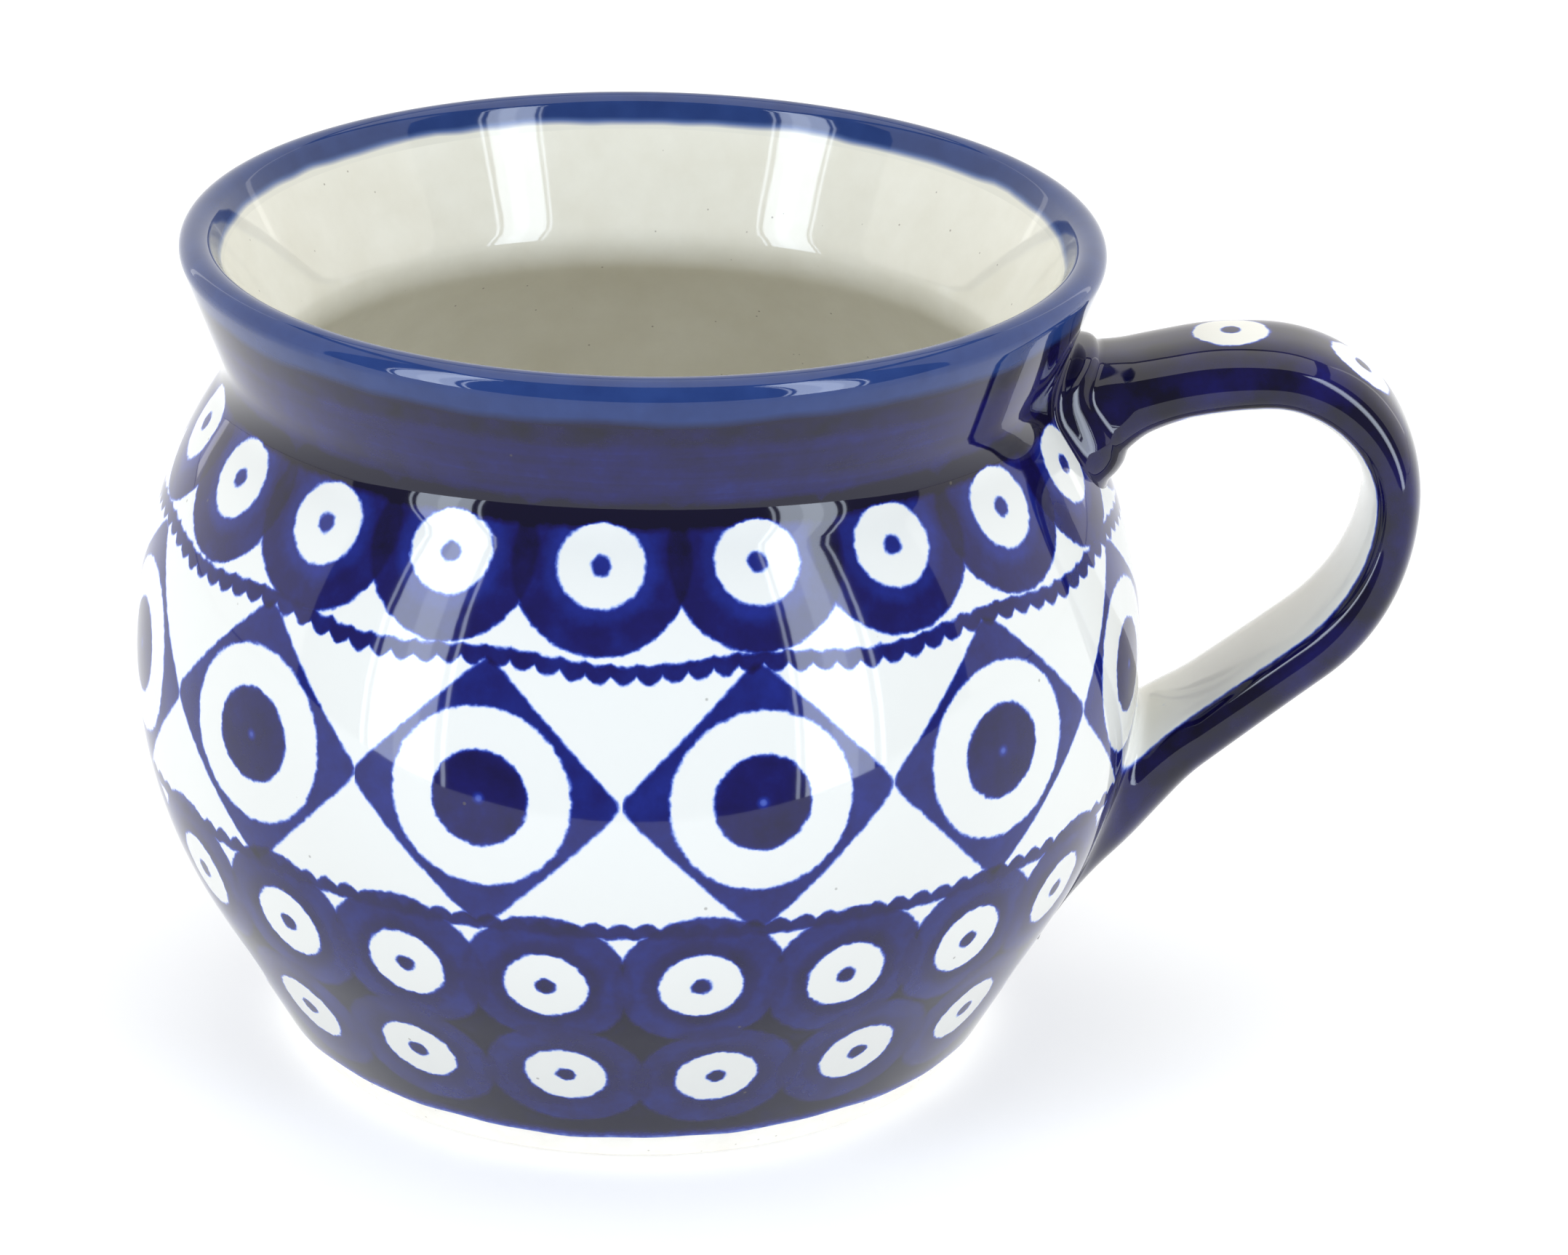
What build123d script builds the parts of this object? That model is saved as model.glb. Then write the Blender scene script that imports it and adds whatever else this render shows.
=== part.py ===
from build123d import *

import os
from dataclasses import dataclass
from math import acos, asin, atan2, cos, hypot, pi, radians, sin, sqrt

# A round-bellied stoneware mug: a turned body with a flared rim and an unglazed foot
# ring, a pulled strap handle luted on at both ends, and the fired glaze coats over them.
# Millimetres. The origin is the centre of the foot ring's underside, +Z is up and the
# handle points along +X.

# ---- driving dimensions: the glazed outside -------------------------------------------
HEIGHT = 89.0
FOOT_R = 36.6              # outside of the foot ring, at the ground
BELLY_R = 53.0             # widest radius
BELLY_Z = 42.5             # height of the widest place
LOWER_BELLY_ARC = 49.2     # radius of the belly's outline below the widest place
UPPER_BELLY_ARC = 51.2     # and above it
NECK_R = 43.3              # narrowest radius, under the rim
NECK_ARC = 6.0             # radius of the hollow at the neck
NECK_INSIDE_ARC = 4.5      # radius of the ridge at the neck, inside
LIP_ARC = 1.75             # the rounded lip's edge radius
LIP_R = 45.8               # radius of the ring on which the lip's edge is centred

# ---- wall, floor and foot ---------------------------------------------------------------
WALL = 5.0                 # over both glaze coats
FLOOR_Z = 7.5              # glazed inside of the floor
FLOOR_CORNER_ARC = 13.0    # inside corner between wall and floor
FOOT_RING_WIDTH = 5.2
FOOT_RECESS = 2.4          # how far the base stands up inside the foot ring
FOOT_EDGE = 0.7            # softened edges of the foot ring
RECESS_EDGE = 1.2          # slope of the recess's wall

# ---- glaze coats --------------------------------------------------------------------------
GLAZE = 0.35               # thickness of every coat
GLAZE_LINE_Z = 3.5         # lowest edge of the outer coat; the foot below it is bare
OUTER_RIM_LINE = 0.74      # where the rim coat starts, as a fraction of the outer flare
INNER_RIM_LINE = 0.20      # where it ends inside, as a fraction of the inner flare

# ---- strap handle -------------------------------------------------------------------------
CREST = (64.7, 75.2)       # highest point of the strap's centre line (radius, height)
ROOT_ARC = 37.8            # from the neck up to the crest
ROOT_TURN = 29.0
CREST_ARC = 13.7           # from the crest to the outermost point
FALL_ARC = 21.7            # from the outermost point down and inwards
FALL_TURN = 51.0
RETURN_RUN = 15.6          # straight run back to the belly
TAIL_ARC = 25.0            # slight bend down along the belly
TAIL_TURN = 9.0
ROOT_INSERT = 5.0          # how far the centre line runs on inside the wall
TAIL_RUN = 7.0             # last straight run before the belly
TAIL_INSERT = 15.0
SECTION_COUNT = 21
SECTION_POWER = 2.6        # superellipse power of the strap's section
# half thickness of the clay at shares of the centre line: wall, neck, crest, outermost
# point, return run, belly, end
STRAP_THICK = ((0.0, 5.2), (0.15, 3.6), (0.27, 3.2), (0.43, 2.6), (0.6, 3.1), (0.85, 3.5), (1.0, 1.3))
STRAP_WIDE = ((0.0, 7.0), (0.43, 7.4), (1.0, 7.9))      # half width, the same way

# ---- luting: the clay collars that join the strap to the body -----------------------------
COLLAR_SECTIONS = 9
COLLAR_REACH = 6.5         # how far along the strap each collar runs out
COLLAR_CURVE = 2.5         # how sharply it flares towards the wall
UPPER_FLARE = (0.9, 1.5)   # what it adds at the wall, in thickness and in half width
LOWER_FLARE = (0.3, 2.0)
COLLAR_FEATHER = 0.12      # how far its thin end sinks into the strap


@dataclass(frozen=True)
class Bend:
    """One round stretch of the turned outline; side is 1 where clay is inside the arc."""

    r: float
    z: float
    radius: float
    start: float
    end: float
    side: int

    def at(self, angle, depth):
        """Point of the arc at an angle, moved into the clay by depth."""
        reach = self.radius - self.side * depth
        return (self.r + reach * cos(angle), self.z + reach * sin(angle))


def outline_bends():
    """Round stretches of the outline, from the foot over the lip to the floor."""
    low_r, high_r = BELLY_R - LOWER_BELLY_ARC, BELLY_R - UPPER_BELLY_ARC
    to_foot = atan2(BELLY_Z, low_r - FOOT_R)
    flank_dir = to_foot - asin(LOWER_BELLY_ARC / hypot(low_r - FOOT_R, BELLY_Z))
    flank = flank_dir - pi / 2
    neck_r = NECK_R + NECK_ARC
    reach = UPPER_BELLY_ARC + NECK_ARC
    neck_z = BELLY_Z + sqrt(reach**2 - (neck_r - high_r) ** 2)
    shoulder = atan2(neck_z - BELLY_Z, neck_r - high_r)
    lip_z = HEIGHT - LIP_ARC
    span = hypot(LIP_R - neck_r, lip_z - neck_z)
    lean = atan2(lip_z - neck_z, LIP_R - neck_r)
    flare = lean + acos((NECK_ARC + LIP_ARC) / span)
    inner_neck = NECK_ARC + WALL
    inner_flare = lean + acos((inner_neck - LIP_ARC) / span)
    # the inside ridge touches the inner flare and the inner belly
    inset = inner_neck - NECK_INSIDE_ARC
    from_belly_r = neck_r + inset * cos(inner_flare) - high_r
    from_belly_z = neck_z + inset * sin(inner_flare) - BELLY_Z
    uphill = from_belly_z * cos(inner_flare) - from_belly_r * sin(inner_flare)
    apart = UPPER_BELLY_ARC - WALL + NECK_INSIDE_ARC
    slide = sqrt(uphill**2 - from_belly_r**2 - from_belly_z**2 + apart**2)
    slide = slide - uphill if uphill > 0 else -slide - uphill
    ridge_r = high_r + from_belly_r - slide * sin(inner_flare)
    ridge_z = BELLY_Z + from_belly_z + slide * cos(inner_flare)
    ridge = atan2(ridge_z - BELLY_Z, ridge_r - high_r)
    corner_z = FLOOR_Z + FLOOR_CORNER_ARC
    # the floor corner's centre lies on the line parallel to the flank
    inset = WALL + FLOOR_CORNER_ARC
    corner_r = FOOT_R + corner_z * cos(flank_dir) / sin(flank_dir) - inset / cos(flank)
    return [
        Bend(low_r, BELLY_Z, LOWER_BELLY_ARC, flank, 0.0, 1),
        Bend(high_r, BELLY_Z, UPPER_BELLY_ARC, 0.0, shoulder, 1),
        Bend(neck_r, neck_z, NECK_ARC, shoulder + pi, flare, -1),
        Bend(LIP_R, lip_z, LIP_ARC, flare - pi, inner_flare, 1),
        Bend(ridge_r, ridge_z, NECK_INSIDE_ARC, inner_flare, ridge + pi, 1),
        Bend(high_r, BELLY_Z, UPPER_BELLY_ARC - WALL, ridge, 0.0, -1),
        Bend(low_r, BELLY_Z, LOWER_BELLY_ARC - WALL, 0.0, flank, -1),
        Bend(corner_r, corner_z, FLOOR_CORNER_ARC, flank, -pi / 2, -1),
    ]


BENDS = outline_bends()
LOW_BELLY, HIGH_BELLY, NECK, LIP, NECK_IN, HIGH_IN, LOW_IN, CORNER = BENDS


def between(a, b, share):
    """Point at a share of the way from a to b."""
    return (a[0] + (b[0] - a[0]) * share, a[1] + (b[1] - a[1]) * share)


def foot_point(depth):
    """Where the outline, moved in by depth, meets the ground."""
    tangent = LOW_BELLY.at(LOW_BELLY.start, depth)
    slope = LOW_BELLY.start + pi / 2
    return (tangent[0] - tangent[1] * cos(slope) / sin(slope), 0.0)


def glaze_start(depth):
    """Lower edge of the outer coat, cut square to the flank."""
    share = GLAZE_LINE_Z / LOW_BELLY.at(LOW_BELLY.start, 0.0)[1]
    slope = LOW_BELLY.start + pi / 2
    r, z = between(foot_point(0.0), LOW_BELLY.at(LOW_BELLY.start, 0.0), share)
    return (r - depth * sin(slope), z + depth * cos(slope))


def outer_rim(depth):
    """Boundary between the outer coat and the rim coat."""
    return between(NECK.at(NECK.end, depth), LIP.at(LIP.start, depth), OUTER_RIM_LINE)


def inner_rim(depth):
    """Boundary between the rim coat and the inner coat."""
    return between(LIP.at(LIP.end, depth), NECK_IN.at(NECK_IN.start, depth), INNER_RIM_LINE)


def point3(pair):
    """A (radius, height) pair in the XZ plane."""
    return Vector(pair[0], 0, pair[1])


def run(start, bends, end, depth):
    """Edges from start through the bends to end, tangent lines between the arcs."""
    edges, last = [], start
    for bend in bends:
        first, final = bend.at(bend.start, depth), bend.at(bend.end, depth)
        if hypot(first[0] - last[0], first[1] - last[1]) > 1e-6:
            edges.append(Line(point3(last), point3(first)))
        middle = bend.at((bend.start + bend.end) / 2, depth)
        edges.append(ThreePointArc(point3(first), point3(middle), point3(final)))
        last = final
    edges.append(Line(point3(last), point3(end)))
    return edges


def closed(points):
    """Straight edges through the points."""
    return [Line(point3(a), point3(b)) for a, b in zip(points, points[1:])]


def turned(edges):
    """Solid of revolution from a closed chain of edges."""
    return revolve(Plane.XZ * Plane.XZ.to_local_coords(make_face(edges)), Axis.Z)


def coat(start, bends, end):
    """A glaze coat over the bends, between two boundaries square to the surface."""
    outside = run(start(0.0), bends, end(0.0), 0.0)
    inside = run(start(GLAZE), bends, end(GLAZE), GLAZE)
    ends = closed([start(0.0), start(GLAZE)])
    if hypot(end(0.0)[0] - end(GLAZE)[0], end(0.0)[1] - end(GLAZE)[1]) > 1e-6:
        ends += closed([end(0.0), end(GLAZE)])
    return turned(outside + inside + ends)


def floor_centre(depth):
    """Middle of the floor's inside."""
    return (0.0, FLOOR_Z - depth)


def inner_coat():
    """Liner from the rim coat down over the floor, closed on the axis."""
    bends = [NECK_IN, HIGH_IN, LOW_IN, CORNER]
    outside = run(inner_rim(0.0), bends, floor_centre(0.0), 0.0)
    inside = run(inner_rim(GLAZE), bends, floor_centre(GLAZE), GLAZE)
    ends = closed([inner_rim(0.0), inner_rim(GLAZE)])
    ends += closed([floor_centre(0.0), floor_centre(GLAZE)])
    return turned(outside + inside + ends)


def envelope(depth):
    """Everything within the outside, moved in by depth, as one full solid."""
    lip_top = (LIP.r, HEIGHT - depth)
    edges = run(foot_point(depth), BENDS[:3], LIP.at(LIP.start, depth), depth)
    middle = LIP.at((LIP.start + pi / 2) / 2, depth)
    edges.append(ThreePointArc(point3(LIP.at(LIP.start, depth)), point3(middle), point3(lip_top)))
    edges += closed([lip_top, (0.0, HEIGHT - depth), (0.0, 0.0), foot_point(depth)])
    return turned(edges)


def body_clay():
    """The fired vessel with its floor and foot ring."""
    outer_foot = foot_point(GLAZE)
    inner_foot_r = outer_foot[0] - FOOT_RING_WIDTH
    slope = LOW_BELLY.start + pi / 2
    lift = (FOOT_EDGE * cos(slope), FOOT_EDGE * sin(slope))
    edges = run((outer_foot[0] + lift[0], lift[1]), BENDS, floor_centre(GLAZE), GLAZE)
    edges += closed([
        floor_centre(GLAZE),
        (0.0, FOOT_RECESS),
        (inner_foot_r - RECESS_EDGE, FOOT_RECESS),
        (inner_foot_r, FOOT_EDGE),
        (inner_foot_r + FOOT_EDGE, 0.0),
        (outer_foot[0] - FOOT_EDGE, 0.0),
        (outer_foot[0] + lift[0], lift[1]),
    ])
    return turned(edges)


def base_coat():
    """Thin glaze on the base, inside the foot ring and clear of the ground."""
    outer_r = foot_point(GLAZE)[0] - FOOT_RING_WIDTH - RECESS_EDGE
    disc = Cylinder(outer_r, GLAZE, align=(Align.CENTER, Align.CENTER, Align.MAX))
    return Pos(0, 0, FOOT_RECESS) * disc


def strap_path():
    """Centre line of the strap, from inside the neck to inside the belly."""
    crest = Vector(CREST[0], 0, CREST[1])
    turn = radians(ROOT_TURN)
    root = crest + Vector(-ROOT_ARC * sin(turn), 0, -ROOT_ARC * (1 - cos(turn)))
    half = turn / 2
    root_mid = crest + Vector(-ROOT_ARC * sin(half), 0, -ROOT_ARC * (1 - cos(half)))
    start = root - Vector(cos(turn), 0, sin(turn)) * ROOT_INSERT
    outermost = crest + Vector(CREST_ARC, 0, -CREST_ARC)
    crest_mid = crest + Vector(CREST_ARC * sin(pi / 4), 0, -CREST_ARC * (1 - cos(pi / 4)))
    fall = radians(FALL_TURN)
    fall_centre = outermost - Vector(FALL_ARC, 0, 0)
    fall_mid = fall_centre + Vector(cos(fall / 2), 0, -sin(fall / 2)) * FALL_ARC
    fall_end = fall_centre + Vector(cos(fall), 0, -sin(fall)) * FALL_ARC
    away = Vector(-sin(fall), 0, -cos(fall))
    tail = fall_end + away * RETURN_RUN
    tail_centre = tail + Vector(cos(fall), 0, -sin(fall)) * TAIL_ARC
    bent = radians(FALL_TURN - TAIL_TURN)
    mid = radians(FALL_TURN - TAIL_TURN / 2)
    tail_mid = tail_centre - Vector(cos(mid), 0, -sin(mid)) * TAIL_ARC
    tail_end = tail_centre - Vector(cos(bent), 0, -sin(bent)) * TAIL_ARC
    finish = tail_end + Vector(-sin(bent), 0, -cos(bent)) * (TAIL_RUN + TAIL_INSERT)
    return Wire([
        Line(start, root),
        ThreePointArc(root, root_mid, crest),
        ThreePointArc(crest, crest_mid, outermost),
        ThreePointArc(outermost, fall_mid, fall_end),
        Line(fall_end, tail),
        ThreePointArc(tail, tail_mid, tail_end),
        Line(tail_end, finish),
    ])


def strap_section(half_thick, half_wide):
    """Closed superellipse with its flat sides across the strap."""
    points = []
    for step in range(24):
        angle = 2 * pi * step / 24
        c, s = cos(angle), sin(angle)
        x = half_wide * abs(c) ** (2 / SECTION_POWER) * (1 if c >= 0 else -1)
        y = half_thick * abs(s) ** (2 / SECTION_POWER) * (1 if s >= 0 else -1)
        points.append((x, y))
    return make_face(Spline(points, periodic=True))


def eased(stations, share):
    """Value at a share of the path, eased between the stations so that none shows."""
    for (low, first), (high, last) in zip(stations, stations[1:]):
        if share <= high:
            turn = pi * (share - low) / (high - low)
            return first + (last - first) * (1 - cos(turn)) / 2
    return stations[-1][1]


def strap_half(share):
    """Half thickness and half width of the bare strap at a share of its path."""
    return eased(STRAP_THICK, share), eased(STRAP_WIDE, share)


def strap_plane(path, share):
    """Plane square to the path, its x direction across the strap."""
    return Plane(path @ share, x_dir=(0, 1, 0), z_dir=path % share)


def strap(path, cover):
    """The strap's solid, thickened all round by cover."""
    sections = []
    for index in range(SECTION_COUNT):
        share = index / (SECTION_COUNT - 1)
        thick, wide = strap_half(share)
        section = strap_section(thick + cover, wide + cover)
        sections.append(strap_plane(path, share) * section)
    return loft(sections)


def collar(path, insert, at_tail, flare, cover):
    """A trumpet-shaped collar from one end of the strap, running out along it."""
    sections = []
    for index in range(COLLAR_SECTIONS):
        from_wall = -insert + (insert + COLLAR_REACH) * index / (COLLAR_SECTIONS - 1)
        share = (insert + from_wall) / path.length
        share = 1 - share if at_tail else share
        near = min(1.0, 1 - from_wall / COLLAR_REACH) ** COLLAR_CURVE
        thick, wide = strap_half(share)
        thick += cover - COLLAR_FEATHER + flare[0] * near
        wide += cover - COLLAR_FEATHER + flare[1] * near
        sections.append(strap_plane(path, share) * strap_section(thick, wide))
    return loft(sections)


def collars(path, cover):
    """The upper and the lower collar as full solids."""
    upper = collar(path, ROOT_INSERT, False, UPPER_FLARE, cover)
    lower = collar(path, TAIL_INSERT, True, LOWER_FLARE, cover)
    return upper, lower


def without(shape, tools):
    """The shape with every tool cut away, one after the other."""
    for tool in tools:
        shape = shape - tool
    return shape


def handle_pieces():
    """Strap clay, the two lutings, the coat over them, and the uncut clay solids."""
    path = strap_path()
    glazed_body, clay_body = envelope(0.0), envelope(GLAZE)
    full_strap = strap(path, 0.0)
    full_upper, full_lower = collars(path, 0.0)
    clay = [full_strap, full_upper, full_lower]
    coat_upper, coat_lower = collars(path, GLAZE)
    coat_strap = strap(path, GLAZE) - glazed_body
    coat_strap = coat_strap + (coat_upper - glazed_body) + (coat_lower - glazed_body)
    handle = full_strap - clay_body
    upper = without(full_upper, [full_strap, clay_body])
    lower = without(full_lower, [full_strap, clay_body])
    return handle, upper, lower, without(coat_strap, clay), clay


def main():
    """Build every piece and write one STEP for each."""
    os.makedirs("parts", exist_ok=True)
    handle, upper, lower, handle_coat, handle_clay = handle_pieces()
    pieces = {
        "body": body_clay(),
        "handle": handle,
        "handle_upper_luting": upper,
        "handle_lower_luting": lower,
        "outer_glaze": without(coat(glaze_start, BENDS[:3], outer_rim), handle_clay),
        "rim_glaze": coat(outer_rim, [LIP], inner_rim),
        "inner_glaze": inner_coat(),
        "handle_glaze": handle_coat,
        "base_glaze": base_coat(),
    }
    for name, shape in pieces.items():
        export_step(shape, f"parts/{name}.step")
        box = shape.bounding_box()
        print(name, len(shape.solids()), f"{shape.volume:.0f} mm3",
              f"x {box.max.X:.2f} z {box.min.Z:.2f} {box.max.Z:.2f}", shape.is_valid)


if __name__ == "__main__":
    main()
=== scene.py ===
import logging
from collections.abc import Callable, Sequence
from dataclasses import dataclass, field
from enum import Enum
from functools import cached_property
from math import acos, asin, atan2, ceil, cos, hypot, pi, radians, sin, sqrt

import bmesh
import bpy
import numpy as np
from mathutils import Matrix, Vector


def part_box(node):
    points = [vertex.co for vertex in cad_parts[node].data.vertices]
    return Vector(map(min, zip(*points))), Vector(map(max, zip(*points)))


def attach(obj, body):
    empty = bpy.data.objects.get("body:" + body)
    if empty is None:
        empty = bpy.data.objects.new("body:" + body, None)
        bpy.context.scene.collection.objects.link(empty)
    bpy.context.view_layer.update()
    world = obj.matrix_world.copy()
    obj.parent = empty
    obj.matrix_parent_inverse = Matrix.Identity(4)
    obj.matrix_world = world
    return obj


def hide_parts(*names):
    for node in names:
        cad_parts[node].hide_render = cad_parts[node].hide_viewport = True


# A round-bellied stoneware mug. The clay pieces come from the frame; the glaze coats over
# them, with the stamped cobalt decoration, are modelled here. Metres; the handle points
# along +X and the mug stands on z = 0.

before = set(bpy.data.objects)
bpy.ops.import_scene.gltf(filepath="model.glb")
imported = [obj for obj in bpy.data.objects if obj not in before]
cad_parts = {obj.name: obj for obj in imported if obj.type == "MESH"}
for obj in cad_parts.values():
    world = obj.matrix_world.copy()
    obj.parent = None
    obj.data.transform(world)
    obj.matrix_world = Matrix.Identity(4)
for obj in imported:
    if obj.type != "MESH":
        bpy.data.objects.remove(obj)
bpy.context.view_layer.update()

MM = 0.001
GLAZE = 0.35 * MM          # thickness of every coat
STEPS_ROUND = 224          # vertices in each turned circle
log = logging.getLogger("mug")

Pair = tuple[float, float]
Point = tuple[float, float, float]
Piece = bpy.types.Object
Socket = bpy.types.NodeSocket


class Slot(Enum):
    """Material slots of the record."""

    STONEWARE = "stoneware"
    COBALT = "cobalt_glaze"
    RIM = "rim_glaze"
    CREAM = "cream_glaze"
    HANDLE = "handle_glaze"


class End(Enum):
    """The two places where the strap meets the body."""

    ROOT = 0
    TAIL = 1


# ---- the turned outline -------------------------------------------------------------------


@dataclass(frozen=True)
class Bend:
    """One round stretch of the outline; side is 1 where clay is inside the arc."""

    r: float
    z: float
    radius: float
    start: float
    end: float
    side: int

    def at(self, angle: float) -> Pair:
        """Point of the arc at an angle."""
        return self.r + self.radius * cos(angle), self.z + self.radius * sin(angle)


@dataclass(frozen=True)
class Stop:
    """A place on the outline: radius, height, the direction into the clay, the way there."""

    r: float
    z: float
    in_r: float
    in_z: float
    along: float

    def sunk(self, depth: float) -> Pair:
        """The place moved into the clay by depth."""
        return self.r + depth * self.in_r, self.z + depth * self.in_z


@dataclass
class Outline:
    """The mug's outline from the foot over the lip to the middle of the floor."""

    height: float
    belly_r: float
    foot_r: float = 36.6 * MM
    belly_z: float = 42.5 * MM
    lower_belly_arc: float = 49.2 * MM
    upper_belly_arc: float = 51.2 * MM
    neck_r: float = 43.3 * MM
    neck_arc: float = 6.0 * MM
    neck_inside_arc: float = 4.5 * MM
    lip_arc: float = 1.75 * MM
    lip_r: float = 45.8 * MM
    wall: float = 5.0 * MM
    floor_z: float = 7.5 * MM
    corner_arc: float = 13.0 * MM
    step: float = 0.9 * MM
    stops: list[Stop] = field(default_factory=list)
    marks: list[Pair] = field(default_factory=list)

    def __post_init__(self) -> None:
        """Walk the outline once and keep its stops."""
        bends = self.bends()
        flank = bends[0].start
        foot_slope = flank + pi / 2
        first = bends[0].at(flank)
        ground = (first[0] - first[1] * cos(foot_slope) / sin(foot_slope), 0.0)
        self.add_line(ground, first, (-cos(flank), -sin(flank)))
        last = first
        for bend in bends:
            start = bend.at(bend.start)
            inward = (-bend.side * cos(bend.start), -bend.side * sin(bend.start))
            self.add_line(last, start, inward)
            self.add_arc(bend)
            last = bend.at(bend.end)
        self.add_line(last, (0.0, self.floor_z), (0.0, -1.0))

    def bends(self) -> list[Bend]:
        """Round stretches of the outline, from the foot over the lip to the floor.

        Returns:
            The eight arcs in order; straight tangents join them.
        """
        low_r, high_r = self.belly_r - self.lower_belly_arc, self.belly_r - self.upper_belly_arc
        to_foot = atan2(self.belly_z, low_r - self.foot_r)
        flank_dir = to_foot - asin(self.lower_belly_arc / hypot(low_r - self.foot_r, self.belly_z))
        flank = flank_dir - pi / 2
        neck_r = self.neck_r + self.neck_arc
        reach = self.upper_belly_arc + self.neck_arc
        neck_z = self.belly_z + sqrt(reach**2 - (neck_r - high_r) ** 2)
        shoulder = atan2(neck_z - self.belly_z, neck_r - high_r)
        lip_z = self.height - self.lip_arc
        span = hypot(self.lip_r - neck_r, lip_z - neck_z)
        lean = atan2(lip_z - neck_z, self.lip_r - neck_r)
        flare = lean + acos((self.neck_arc + self.lip_arc) / span)
        inner_neck = self.neck_arc + self.wall
        inner_flare = lean + acos((inner_neck - self.lip_arc) / span)
        ridge_r, ridge_z = self.ridge(neck_r - high_r, neck_z - self.belly_z, inner_flare)
        ridge_r, ridge_z = ridge_r + high_r, ridge_z + self.belly_z
        ridge = atan2(ridge_z - self.belly_z, ridge_r - high_r)
        corner_z = self.floor_z + self.corner_arc
        inset = self.wall + self.corner_arc
        corner_r = self.foot_r + corner_z * cos(flank_dir) / sin(flank_dir) - inset / cos(flank)
        low_arc, high_arc = self.lower_belly_arc, self.upper_belly_arc
        return [
            Bend(low_r, self.belly_z, low_arc, flank, 0.0, 1),
            Bend(high_r, self.belly_z, high_arc, 0.0, shoulder, 1),
            Bend(neck_r, neck_z, self.neck_arc, shoulder + pi, flare, -1),
            Bend(self.lip_r, lip_z, self.lip_arc, flare - pi, inner_flare, 1),
            Bend(ridge_r, ridge_z, self.neck_inside_arc, inner_flare, ridge + pi, 1),
            Bend(high_r, self.belly_z, high_arc - self.wall, ridge, 0.0, -1),
            Bend(low_r, self.belly_z, low_arc - self.wall, 0.0, flank, -1),
            Bend(corner_r, corner_z, self.corner_arc, flank, -pi / 2, -1),
        ]

    def ridge(self, r: float, z: float, flare: float) -> Pair:
        """Centre of the inside ridge at the neck, measured from the upper belly's centre.

        Args:
            r: The outer neck's centre, measured the same way.
            z: Its height.
            flare: Direction square to the inner flare.

        Returns:
            Where a smaller arc touches both the inner flare and the inner belly.
        """
        inset = self.neck_arc + self.wall - self.neck_inside_arc
        r, z = r + inset * cos(flare), z + inset * sin(flare)
        uphill = z * cos(flare) - r * sin(flare)
        apart = self.upper_belly_arc - self.wall + self.neck_inside_arc
        slide = sqrt(uphill**2 - r**2 - z**2 + apart**2)
        slide = slide - uphill if uphill > 0 else -slide - uphill
        return r - slide * sin(flare), z + slide * cos(flare)

    def add_stop(self, point: Pair, inward: Pair) -> None:
        """Add a stop unless it repeats the last one.

        Args:
            point: Radius and height.
            inward: Direction into the clay.
        """
        along = 0.0
        if self.stops:
            gone = hypot(point[0] - self.stops[-1].r, point[1] - self.stops[-1].z)
            if gone < 1e-7:
                return
            along = self.stops[-1].along + gone
        self.stops.append(Stop(point[0], point[1], inward[0], inward[1], along))

    def add_line(self, a: Pair, b: Pair, inward: Pair) -> None:
        """Add a straight stretch.

        Args:
            a: Its start.
            b: Its end.
            inward: Direction into the clay, the same all along.
        """
        count = max(1, ceil(hypot(b[0] - a[0], b[1] - a[1]) / self.step))
        for index in range(count + 1):
            share = index / count
            self.add_stop((a[0] + (b[0] - a[0]) * share, a[1] + (b[1] - a[1]) * share), inward)

    def add_arc(self, bend: Bend) -> None:
        """Add a round stretch and mark where it starts and ends.

        Args:
            bend: The arc.
        """
        opened = self.stops[-1].along
        turn = abs(bend.end - bend.start)
        count = max(ceil(turn * bend.radius / self.step), ceil(turn / radians(9)))
        for index in range(1, count + 1):
            angle = bend.start + (bend.end - bend.start) * index / count
            inward = (-bend.side * cos(angle), -bend.side * sin(angle))
            self.add_stop(bend.at(angle), inward)
        self.marks.append((opened, self.stops[-1].along))

    def stop_at(self, along: float) -> Stop:
        """The place at a way along the outline.

        Args:
            along: Metres from the ground line of the foot.

        Returns:
            A stop between the two nearest ones.
        """
        for a, b in zip(self.stops, self.stops[1:]):
            if along <= b.along:
                share = (along - a.along) / (b.along - a.along)
                mixed = [p + (q - p) * share for p, q in
                         ((a.r, b.r), (a.z, b.z), (a.in_r, b.in_r), (a.in_z, b.in_z))]
                return Stop(*mixed, along)
        return self.stops[-1]

    def stretch(self, start: float, end: float) -> list[Stop]:
        """All stops from one way along the outline to another, with exact ones at both ends."""
        between = [s for s in self.stops if start + 0.2 * MM < s.along < end - 0.2 * MM]
        return [self.stop_at(start), *between, self.stop_at(end)]

    def along_at_height(self, z: float) -> float:
        """Way along the outside up to a height below the lip."""
        for a, b in zip(self.stops, self.stops[1:]):
            if a.z <= z <= b.z:
                return a.along + (b.along - a.along) * (z - a.z) / (b.z - a.z)
        return self.stops[-1].along

    def outer_rim(self) -> float:
        """Way to the boundary between the outer coat and the rim coat."""
        low, high = self.marks[2][1], self.marks[3][0]
        return low + (high - low) * 0.74

    def inner_rim(self) -> float:
        """Way to the boundary between the rim coat and the inner coat."""
        low, high = self.marks[3][1], self.marks[4][0]
        return low + (high - low) * 0.20


# ---- mesh work shared by the pieces ---------------------------------------------------------


def clear_selection() -> None:
    """Leave edit mode with nothing selected."""
    if bpy.context.object and bpy.context.object.mode == "EDIT":
        bpy.ops.object.mode_set(mode="OBJECT")
    bpy.ops.object.select_all(action="DESELECT")


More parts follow.
